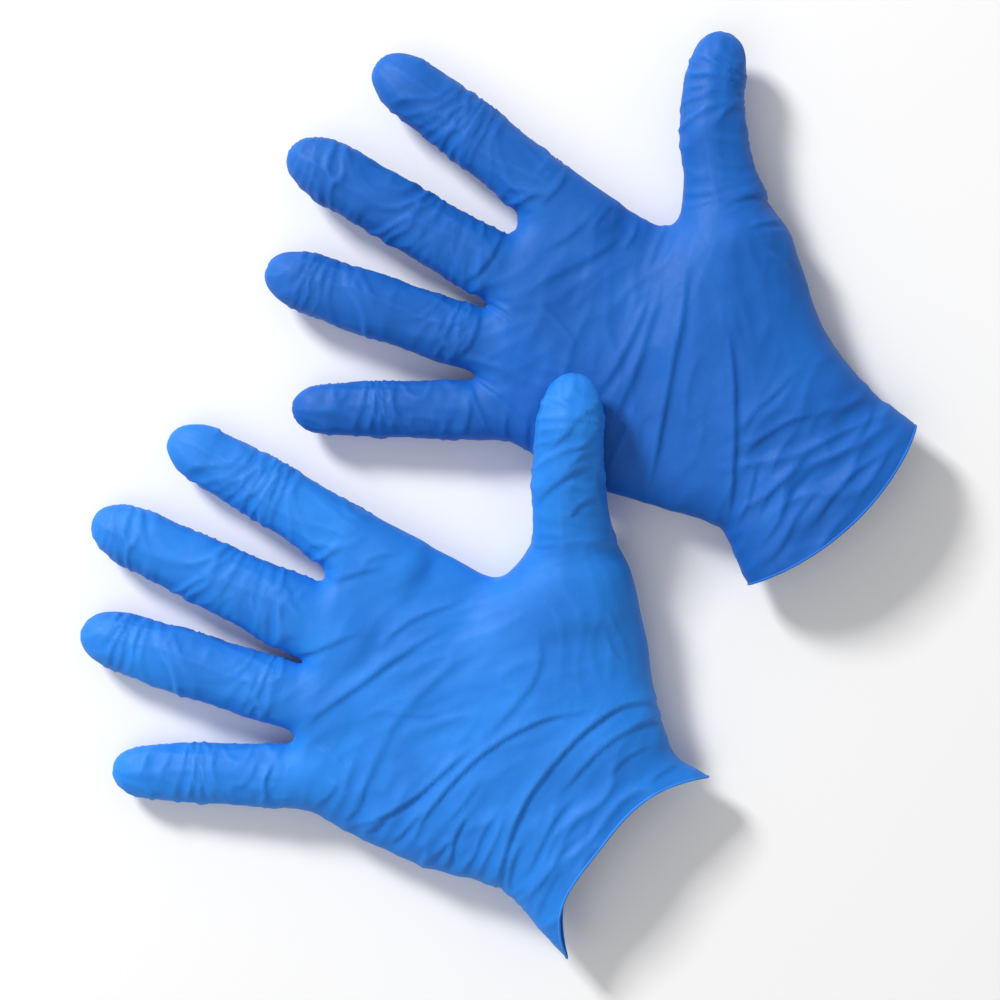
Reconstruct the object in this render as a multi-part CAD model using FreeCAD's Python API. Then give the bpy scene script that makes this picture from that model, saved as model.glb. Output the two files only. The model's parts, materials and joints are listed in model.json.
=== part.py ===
"""A pair of thin nitrile rubber gloves, keeping the shape of the hands that wore them.

The left glove lies back up and the right glove palm up, side by side with their fingers
along +Y.  The left thumb reaches over the heel of the right palm.  Each glove is one dipped
film of even wall.  Its solids are the stretches of that film between the lines where it
folds: the hand, two lengths of each stall, the cuff, and the bead rolled at the cuff's edge.
Sizes are millimetres.  Headings are degrees from +X towards +Y.
"""

import FreeCAD, Part

import math
import os
from collections import namedtuple

Vector = FreeCAD.Vector

# Overall sizes.
GLOVE_LENGTH = 240.0       # tip of the middle finger to the rim, the mean of the two gloves
HAND_HEIGHT = 27.0         # height of the hand at mid palm, as the glove lies

# The film and its edges.
FILM = 0.12                # wall of the dipped film
FOLD_GAP = 0.3             # room left between two lengths of a stall at their fold
BEAD_HEIGHT = 1.4          # rolled bead, measured along the cuff
BEAD_PROUD = 0.35          # how far the bead stands out of the film, inside and outside
REST_FLAT = 0.7            # how far the underside is pressed flat by the table

# How full the sections are: 2 is an ellipse, more is nearer to a rectangle.
HAND_FULLNESS = 2.3
STALL_FULLNESS = 2.1
SECTION_POINTS = 16

# Stalls.
STALL_HEIGHT_SHARE = 0.8   # height of a stall's section over its width
TIP_DOME_SHARE = 1.05      # length of the domed tip over the half width behind it
STUB_REACH = 26.0          # how far a stall's root runs back into the hand
STUB_FLARE = 1.0           # how much the root widens each side over that reach
BALL_TUCK = 6.0            # how far behind a thumb's root ring the ball of the thumb ends
BALL_INSET = 0.6           # how far inside the thumb's root the ball's end lies
THUMB_RISE = 22.0          # how far the left thumb climbs to clear the right palm

# Plan sizes below are for a glove 240 long and are scaled to GLOVE_LENGTH.  The heights of
# the stalls' axes are for a hand 27 high and are scaled to HAND_HEIGHT.
# A stall: middle of its root ring, heading and length of its chord, widths at the root ring,
# at the middle fold and at the pad, heights of the axis at root and tip, how far the axis
# bows to the left of its chord, and where the middle fold lies as a share of the length.
Stall = namedtuple(
    "Stall",
    "x y heading length root_width fold_width pad_width root_z tip_z bow fold_share",
)
# A section of hand or cuff: its middle, half its width, its tilt, its height over HAND_HEIGHT.
Section = namedtuple("Section", "x y half_width tilt height_share")
# A section of the ball of the thumb, across the given heading.
Ball = namedtuple("Ball", "x y half_width heading height_share")

LEFT_STALLS = {
    "index": Stall(-45.4, 43, 93.2, 75, 25.5, 23.5, 22.5, 13.5, 9.2, 0, 0.45),
    "middle": Stall(-79.3, 44, 97.5, 81.5, 28, 24.5, 23.5, 13.5, 9.6, 0, 0.45),
    "ring": Stall(-108.3, 34.3, 104.3, 74, 24.5, 24, 21.5, 13.2, 8.8, 0, 0.45),
    "little": Stall(-133.8, 15.6, 119.8, 61, 22.5, 21.8, 20, 12.2, 8.2, 0, 0.45),
    "thumb": Stall(2.5, -34, 30.0, 59, 34, 26, 23, 23.0, 23.0 + THUMB_RISE, 3, 0.45),
}
RIGHT_STALLS = {
    "index": Stall(108, 53, 87.2, 77.5, 25.5, 23.5, 22.5, 13.2, 14, 0, 0.45),
    "middle": Stall(73.2, 53, 93.4, 88, 24.5, 23.5, 23, 13.2, 15, 0, 0.45),
    "ring": Stall(44.3, 48.6, 104.4, 76.5, 24, 22.8, 21, 13.0, 14, 0, 0.45),
    "little": Stall(18.3, 33.3, 121.7, 58.5, 20.5, 18.6, 17.5, 12.0, 12, 0, 0.45),
    "thumb": Stall(143, -11, 31.8, 60.5, 32, 26.5, 22.5, 16, 17, 7, 0.45),
}
LEFT_HAND = [
    Section(-86, 22, 56, 18, 0.92),
    Section(-84, -15, 52.5, 8, 1.0),
    Section(-83, -55, 48, -2, 1.1),
    Section(-80.5, -85, 45, -9.6, 1.15),
    Section(-88.5, -121, 43, -4.7, 1.2),
    Section(-91, -150, 42, -4.7, 1.2),
]
RIGHT_HAND = [
    Section(69, 24, 52.5, 15.4, 0.92),
    Section(70, -15, 50, 5, 0.96),
    Section(71, -53, 40.5, -2, 1.05),
    Section(74.5, -80.5, 38, -5.3, 1.15),
    Section(67.2, -107, 44, -13.5, 1.2),
    Section(60, -137, 48, -13.5, 1.2),
]
LEFT_BALL = [
    Ball(-62, -72, 29, 44, 1.0),
    Ball(-40, -54, 32, 40, 1.1),
    Ball(-8, -39, 20, 35, 1.3),
]
RIGHT_BALL = [
    Ball(90, -63, 27, 55, 1.0),
    Ball(104, -38, 31, 48, 1.1),
    Ball(134, -20, 19, 42, 1.15),
]
WRIST_SECTION = 3          # the section at which the cuff begins
RIM_SECTION = 4            # the section whose ends are the corners of the rim
LEFT_RIM_SAG = 17.0        # how far the left rim is drawn in between its corners
RIGHT_RIM_SAG = -9.3       # the right rim bows outwards instead

REACH = 400.0              # longer than a glove, for the blocks that cut it
MOUTH_CLEAR = 2.0          # how far past its root ring a stall's hollow is cut clear
PLAN = GLOVE_LENGTH / 240.0
RISE = HAND_HEIGHT / 27.0


def sized(item):
    """The same stall or section scaled in plan to GLOVE_LENGTH and in height to HAND_HEIGHT."""
    plan_sizes = {"x", "y", "length", "root_width", "fold_width", "pad_width", "bow", "half_width"}
    changed = {f: getattr(item, f) * PLAN for f in item._fields if f in plan_sizes}
    changed.update({f: getattr(item, f) * RISE for f in item._fields if f.endswith("_z")})
    return item._replace(**changed)


def heading_vector(heading):
    """A level direction of the given heading."""
    h = math.radians(heading)
    return Vector(math.cos(h), math.sin(h), 0)


def frame_across(along):
    """The level sideways direction and the upward direction square to a heading."""
    side = Vector(0, 0, 1).cross(along).normalize()
    return side, along.cross(side).normalize()


def ring(middle, along, half_width, half_height, fullness):
    """A closed rounded section round middle, square to along, widest level with the table."""
    side, up = frame_across(along)
    points = []
    for i in range(SECTION_POINTS):
        a = 2 * math.pi * i / SECTION_POINTS
        c, s = math.cos(a), math.sin(a)
        across = half_width * math.copysign(abs(c) ** (2 / fullness), c)
        height = half_height * math.copysign(abs(s) ** (2 / fullness), s)
        points.append(middle + side * across + up * height)
    curve = Part.BSplineCurve()
    curve.interpolate(Points=points, PeriodicFlag=True)
    return Part.Wire(curve.toShape())


def stall_axis(stall, share):
    """The point of a stall's axis at a share of its length, and its direction there."""
    chord = heading_vector(stall.heading)
    left = Vector(-chord.y, chord.x, 0)
    root = Vector(stall.x, stall.y, stall.root_z)
    straight = chord * stall.length + Vector(0, 0, stall.tip_z - stall.root_z)
    point = root + straight * share + left * (4 * stall.bow * share * (1 - share))
    along = straight + left * (4 * stall.bow * (1 - 2 * share))
    return point, along.normalize()


def stall_half_width(stall, share):
    """Half the width of a stall, straight from root to fold and from fold to pad."""
    if share < stall.fold_share:
        s = share / stall.fold_share
        return (stall.root_width + (stall.fold_width - stall.root_width) * s) / 2
    s = (share - stall.fold_share) / (1 - stall.fold_share)
    return (stall.fold_width + (stall.pad_width - stall.fold_width) * s) / 2


def stall_ring(stall, share, wall):
    """The section of a stall at a share of its length, with wall taken off it."""
    point, along = stall_axis(stall, share)
    half = stall_half_width(stall, share)
    return ring(point, along, half - wall, half * STALL_HEIGHT_SHARE - wall, STALL_FULLNESS)


def stub_solid(stall, wall):
    """The root of a stall, from inside the hand to its root ring."""
    root, along = stall_axis(stall, 0)
    half = stall_half_width(stall, 0)
    height = half * STALL_HEIGHT_SHARE - wall
    back = root - along * STUB_REACH
    start = ring(back, along, half + STUB_FLARE - wall, height, STALL_FULLNESS)
    return Part.makeLoft([start, stall_ring(stall, 0, wall)], True, True)


def base_film(stall):
    """The film of a stall from its root fold to its middle fold."""
    start = FOLD_GAP / stall.length
    end = stall.fold_share - FOLD_GAP / 2 / stall.length
    shares = [start + (end - start) * i / 3 for i in range(4)]
    outer = Part.makeLoft([stall_ring(stall, s, 0.0) for s in shares], True, True)
    shares[0] = 0.0
    shares[3] = stall.fold_share
    inner = Part.makeLoft([stall_ring(stall, s, FILM) for s in shares], True, True)
    return outer.cut(inner)


def tip_form(stall, start, wall):
    """The closed form of a stall from a start share to its tip, with wall taken off it."""
    dome = stall.pad_width / 2 * TIP_DOME_SHARE
    dome_share = 1 - dome / stall.length
    half = stall_half_width(stall, dome_share)
    rings = [stall_ring(stall, s, wall) for s in (start, (start + dome_share) / 2, dome_share)]
    for turn in (25, 45, 60, 72, 82):
        a = math.radians(turn)
        point, along = stall_axis(stall, dome_share + (dome - wall) * math.sin(a) / stall.length)
        wide = (half - wall) * math.cos(a)
        high = (half * STALL_HEIGHT_SHARE - wall) * math.cos(a)
        rings.append(ring(point, along, wide, high, STALL_FULLNESS))
    return Part.makeLoft(rings, True, True)


def tip_film(stall):
    """The film of a stall from its middle fold to its tip."""
    outer = tip_form(stall, stall.fold_share + FOLD_GAP / 2 / stall.length, 0.0)
    return outer.cut(tip_form(stall, stall.fold_share, FILM))


def flat_ring(item, heading, grow):
    """The section of a hand, cuff or ball that rests on the table, grown by grow."""
    half_height = HAND_HEIGHT * item.height_share / 2
    middle = Vector(item.x, item.y, half_height - REST_FLAT)
    wide = item.half_width + grow
    return ring(middle, heading_vector(heading), wide, half_height + grow, HAND_FULLNESS)


def hand_solid(sections, grow):
    """The closed form of hand and cuff, grown by grow."""
    return Part.makeLoft([flat_ring(s, s.tilt + 90, grow) for s in sections], True, True)


def ball_solid(balls, thumb, wall):
    """The closed form of the ball of the thumb, ending inside the thumb's root."""
    rings = [flat_ring(b, b.heading, -wall) for b in balls]
    root, along = stall_axis(thumb, 0)
    half = stall_half_width(thumb, 0) - BALL_INSET
    end = root - along * BALL_TUCK
    rings.append(ring(end, along, half - wall, half * STALL_HEIGHT_SHARE - wall, STALL_FULLNESS))
    return Part.makeLoft(rings, True, True)


def beyond(point, along, floor=0.0):
    """A block holding all that lies past point in the direction along, and above floor."""
    side, up = frame_across(along)
    signs = ((1, 1), (-1, 1), (-1, -1), (1, -1))
    corners = [point + side * (a * REACH) + up * (b * REACH) for a, b in signs]
    face = Part.Face(Part.makePolygon(corners + corners[:1]))
    return above(face.extrude(along * (2 * REACH)), floor)


def above(shape, floor):
    """The part of a shape above a level."""
    slab = Part.makeBox(4 * REACH, 4 * REACH, 2 * REACH, Vector(-2 * REACH, -2 * REACH, floor))
    return shape.common(slab)


def rim_block(sections, sag, drawn_in):
    """A block holding all that lies on the fingers' side of the rim, drawn in by drawn_in."""
    rim = sections[RIM_SECTION]
    along = heading_vector(rim.tilt + 90)
    across = heading_vector(rim.tilt)
    middle = Vector(rim.x, rim.y, -REACH) + along * drawn_in
    a = middle - across * rim.half_width
    b = middle + across * rim.half_width
    arc = Part.Arc(a, middle + along * sag, b).toShape()
    far_b, far_a = b + (across + along) * REACH, a + (along - across) * REACH
    wings = [b, b + across * REACH, far_b, far_a, a - across * REACH, a]
    outline = Part.Wire([arc] + Part.makePolygon(wings).Edges)
    return Part.Face(outline).extrude(Vector(0, 0, 2 * REACH))


def hand_form(stalls, sections, balls, wall):
    """The closed form of hand, ball and stall roots above the table, with wall taken off it."""
    ball = above(ball_solid(balls, stalls["thumb"], wall), wall)
    form = above(hand_solid(sections, -wall), wall)
    form = form.fuse(ball.fuse(above(stub_solid(stalls["thumb"], wall), wall)))
    for name, stall in stalls.items():
        if name != "thumb":
            form = form.fuse(above(stub_solid(stall, wall), wall))
    return form


def glove(stalls, sections, balls, sag):
    """Every stretch of one glove's film, by name."""
    stalls = {name: sized(s) for name, s in stalls.items()}
    sections = [sized(s) for s in sections]
    balls = [sized(b) for b in balls]
    outer = hand_form(stalls, sections, balls, 0.0)
    inner = hand_form(stalls, sections, balls, FILM)
    for stall in stalls.values():
        along = stall_axis(stall, 0)[1]
        mouth = Part.Face(stall_ring(stall, 0, FILM))
        inner = inner.fuse(mouth.extrude(along * MOUTH_CLEAR))
    film = outer.cut(inner)
    cuff_end = rim_block(sections, sag, BEAD_HEIGHT)
    wrist = sections[WRIST_SECTION]
    past_wrist = beyond(Vector(wrist.x, wrist.y, 0), heading_vector(wrist.tilt + 90), -1.0)
    parts = {"palm": film.common(past_wrist)}
    parts["cuff"] = film.cut(past_wrist).common(cuff_end)
    bead_outer = above(hand_solid(sections, BEAD_PROUD), 0.0)
    bead_inner = above(hand_solid(sections, -FILM - BEAD_PROUD), FILM + 2 * BEAD_PROUD)
    band = rim_block(sections, sag, 0.0).cut(cuff_end)
    parts["cuff_bead"] = bead_outer.cut(bead_inner).common(band)
    for name, stall in stalls.items():
        parts[name + "_base"] = base_film(stall)
        parts[name + "_tip"] = tip_film(stall)
    return parts


def main():
    """Build both gloves, set the pair's middle on the origin and write every node."""
    os.makedirs("parts", exist_ok=True)
    nodes = {}
    pair = (
        ("left", LEFT_STALLS, LEFT_HAND, LEFT_BALL, LEFT_RIM_SAG),
        ("right", RIGHT_STALLS, RIGHT_HAND, RIGHT_BALL, RIGHT_RIM_SAG),
    )
    for side, stalls, sections, balls, sag in pair:
        for name, shape in glove(stalls, sections, balls, sag).items():
            nodes[side + "_" + name] = shape
    box = Part.makeCompound(list(nodes.values())).optimalBoundingBox(False)
    centre = Vector(box.Center.x, box.Center.y, 0)
    for name, shape in nodes.items():
        shape.translate(-centre)
        shape.exportStep("parts/" + name + ".step")


if __name__ == "__main__":
    main()
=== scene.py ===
"""Looks of a pair of thin nitrile rubber gloves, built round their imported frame.

Each glove is one dipped film.  Its form is a smooth joining of a hand, a ball of the thumb
and five stalls.  The film is then laid over that form with more length than it needs, so
that it buckles into the creases that a worn glove has.  Lengths are millimetres until a
mesh is made, and metres from there on.
"""

import json
import math
from collections import namedtuple

import bpy
import numpy as np
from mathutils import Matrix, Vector, noise


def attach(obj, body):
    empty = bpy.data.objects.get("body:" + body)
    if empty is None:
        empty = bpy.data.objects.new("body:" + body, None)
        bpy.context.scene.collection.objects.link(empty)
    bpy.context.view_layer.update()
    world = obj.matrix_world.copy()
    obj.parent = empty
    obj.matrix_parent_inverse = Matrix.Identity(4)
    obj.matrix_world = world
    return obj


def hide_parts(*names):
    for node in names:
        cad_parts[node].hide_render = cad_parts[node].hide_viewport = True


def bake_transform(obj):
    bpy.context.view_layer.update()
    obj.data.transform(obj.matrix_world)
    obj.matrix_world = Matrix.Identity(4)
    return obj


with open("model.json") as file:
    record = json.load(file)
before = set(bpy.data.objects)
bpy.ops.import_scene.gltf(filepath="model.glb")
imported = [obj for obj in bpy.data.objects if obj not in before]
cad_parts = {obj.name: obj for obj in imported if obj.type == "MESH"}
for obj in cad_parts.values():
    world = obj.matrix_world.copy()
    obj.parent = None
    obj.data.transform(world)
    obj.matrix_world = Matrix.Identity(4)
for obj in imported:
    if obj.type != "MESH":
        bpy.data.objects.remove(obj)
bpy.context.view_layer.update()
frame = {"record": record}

bl_info = {
    "name": "Nitrile gloves",
    "version": (1, 0, 0),
    "blender": (4, 5, 0),
    "location": "View3D > Sidebar > Gloves",
    "description": "Builds a pair of thin nitrile gloves and the table they lie on",
    "category": "Add Mesh",
}

MM = 0.001
# Middle of the pair, in the plan that the forms below are drawn in.
PLAN_MIDDLE = (12.65, 8.14)
SIDES = ("left", "right")
FINGERS = ("thumb", "index", "middle", "ring", "little")

# A stall: middle of its root ring, heading and length of its chord, widths at the root, at
# the middle fold and at the pad, heights of its axis at root and tip, bow to the left.
Stall = namedtuple("Stall", "x y heading length root fold pad root_z tip_z bow")
# A section of hand, cuff or ball of the thumb: middle, half width, heading, half height.
Section = namedtuple("Section", "x y half_width heading half_height")
# A limb is a run of sections at even steps, ready to be measured from.
Limb = namedtuple("Limb", "middle ahead wide high step start_cap end_cap fullness")
# A crease: its height, its half width, and the places it runs through.
Crease = namedtuple("Crease", "height width places")

STALL_HEIGHT_SHARE = 0.8
FOLD_SHARE = 0.45
TIP_DOME_SHARE = 1.7
STUB_REACH = 26.0
HAND_FULLNESS = 2.3
STALL_FULLNESS = 2.1
TABLE_PRESS = 0.7
LIMB_STEP = 3.0
KNUCKLE_SWELL = 0.5
STALL_TRIM = 0.2
# How far the rounded ends of the limbs reach past their first and last sections.
STUB_CAP = 9.0
CUFF_CAP = 10.0
KNUCKLE_CAPS = {"left": 8.0, "right": 14.0}
BALL_CAPS = (12.0, 6.0)
# Breadths of the fillets where the parts of the form meet each other and the table.
BETWEEN_FINGERS = 2.0
HAND_TO_BALL = 18.0
PALM_TO_THUMB = 8.0
PALM_TO_FINGERS = 5.0
FORM_TO_TABLE = 1.5
# The rough skin: how much the hand and the ball are swollen so that no notch is left between
# tubes, the points round a tube, and the angles of the rings on its rounded ends.
HAND_SWELL = 3.0
BALL_SWELL = 5.0
TUBE_POINTS = 24
BEAD_POINTS = 8
END_ANGLES = (30, 55, 80)
# Landing the skin: rounds, how far one round may move a point, what counts as a stray point,
# and the rounds of smoothing that bring strays back.
SKIN_ROUNDS = 6
LONGEST_LANDING = 2.0
STRAY = 0.3
STRAY_ROUNDS = 20
RIM_ROUNDS = 8

STALLS = {
    "left": {
        "thumb": Stall(1.6, -32.6, 32.1, 64, 30.8, 26, 24.2, 23.0, 45.0, 3),
        "index": Stall(-45.2, 43, 92.9, 78.6, 26.5, 23.6, 21.3, 13.5, 9.2, -1.5),
        "middle": Stall(-79.3, 44, 98.0, 85.2, 29.4, 24.2, 22.8, 13.5, 9.6, 0),
        "ring": Stall(-108.5, 34.3, 105.8, 77.8, 25.2, 24.4, 21.0, 13.2, 8.8, 0),
        "little": Stall(-135.4, 14.7, 121.4, 63.5, 24, 22.6, 19.2, 12.2, 8.2, 0),
    },
    "right": {
        "thumb": Stall(143, -10.5, 32.4, 65, 28.6, 24.2, 21.4, 16, 17, 6),
        "index": Stall(108.2, 53, 86.0, 80, 26, 24.2, 22.8, 13.2, 14, -1.3),
        "middle": Stall(73.4, 53, 93.2, 89.2, 26, 23.8, 23.8, 13.2, 15, 0),
        "ring": Stall(44.5, 48.6, 104.4, 79.0, 24.2, 23.6, 22.0, 13.0, 14, 0),
        "little": Stall(19.1, 33.8, 122.5, 61.6, 22.5, 21.0, 18.2, 12.0, 12, 0),
    },
}
HANDS = {
    "left": (
        Section(-91, -150, 42, 85.3, 16.2),
        Section(-89, -121, 44.4, 85.3, 16.2),
        Section(-87.3, -104, 41.2, 84, 16.0),
        Section(-83.5, -95, 41.2, 82, 15.8),
        Section(-80.0, -85, 44.0, 80.4, 15.5),
        Section(-83, -55, 50, 88, 14.9),
        Section(-82.8, -13, 55.8, 98, 13.5),
        Section(-86, 22, 56, 112, 12.4),
    ),
    "right": (
        Section(60, -137, 48, 76.5, 16.2),
        Section(67.2, -107, 44, 76.5, 16.2),
        Section(75.2, -80.5, 37, 84.7, 15.5),
        Section(71, -53, 40.5, 88, 14.2),
        Section(70.6, -13, 50.0, 95, 13.0),
        Section(70.5, 32, 49.5, 107.4, 12.0),
    ),
}
BALLS = {
    "left": (
        Section(-61.5, -71, 29.5, 44, 13.5),
        Section(-40, -54, 34, 40, 14.9),
        Section(-7, -37.5, 22, 35, 17.0),
    ),
    "right": (
        Section(90, -63, 27, 55, 13.5),
        Section(104, -38, 32, 48, 14.9),
        Section(134, -20, 20, 42, 15.5),
    ),
}
# The rim: middle of the line between its corners, heading towards the fingers, half its
# width, how far the film is drawn in between the corners, how square the near and far films are,
# and how far the deepest place leans to the left.
Rim = namedtuple("Rim", "x y heading half_width sag near_power far_power lean")
RIMS = {
    "left": Rim(-89, -121, 85.3, 44.4, 18.0, 3.6, 2.8, 0.1),
    "right": Rim(67.2, -107, 76.5, 44, -9.3, 2.0, 2.0, 0.0),
}

# Rounds of settling, and how strongly the film resists bending and leaving its form.
SETTLE_ROUNDS = 220
STIFFNESS = 0.06
HOLD = 0.012
# Share of each spring's error that one round takes out, shares of sideways drift and of the
# rim's movement that one round keeps, and how far the film may sink or rise.
SPRING_SHARE = 1.6
DRIFT_KEPT = 0.97
RIM_KEPT = 0.7
SINK_LIMIT = 0.7
RISE_LIMIT = 2.4
# Unevenness: how much the slack varies over its grain, and the film's own low waves as
# pairs of height and grain.
SLACK_UNEVEN = 0.6
SLACK_GRAIN = 16.0
FILM_WAVES = ((0.12, 7.0), (0.3, 25.0))
# sRGB hex colours of the film where it is stretched thin and where the dip is thickest; the right
# glove's are darker than the left's as painted shade.
STRETCHED_COLOUR = {"left": "3d92f0", "right": "2a7ae0"}
SHADED_COLOUR = {"left": "1a72d0", "right": "0d5ab2"}

# Patches of slack film: middle, reach along the slack, reach across it, heading of the
# slack, and how much longer the film is than the form under it.
PATCHES = {
    "left": (
        (-122, -48, 30, 15, 80, 0.13),
        (-85, -95, 22, 45, 85, 0.07),
        (-80, -40, 30, 30, 60, 0.03),
    ),
    "right": (
        (70, -95, 24, 45, 76, 0.08),
        (60, -30, 40, 30, 110, 0.04),
        (150, -30, 20, 16, 60, 0.08),
    ),
}

# Patches of small crests: middle, reach across the crests, reach along them, heading across
# them, and their height.
RIDGE_PATCHES = {
    "left": (
        (-118, -55, 28, 24, 85, 0.9),
        (-125, -15, 26, 18, 100, 0.5),
        (-80, -98, 26, 45, 80, 0.8),
        (-105, -88, 16, 26, 100, 0.6),
        (-60, -30, 40, 40, 55, 0.4),
        (-85, 5, 30, 40, 65, 0.4),
        (-20, -55, 22, 25, 130, 0.4),
    ),
    "right": (
        (72, -92, 26, 45, 88, 1.0),
        (78, -92, 24, 40, 58, 0.9),
        (60, -20, 45, 40, 112, 0.5),
        (105, 5, 25, 25, 100, 0.5),
        (30, 10, 22, 25, 20, 0.6),
        (125, -35, 25, 25, 130, 0.5),
        (70, 30, 20, 40, 60, 0.4),
    ),
}

# Shape of a crease in half widths: how far it is felt, the length of its slope, and where its
# groove lies; and as shares: the groove's depth, and the run in which its ends fade.
CREASE_REACH = 9
CREASE_SLOPE = 2.2
GROOVE_PLACE = 1.4
GROOVE_SHARE = 0.25
CREASE_FADE = 0.3

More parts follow.
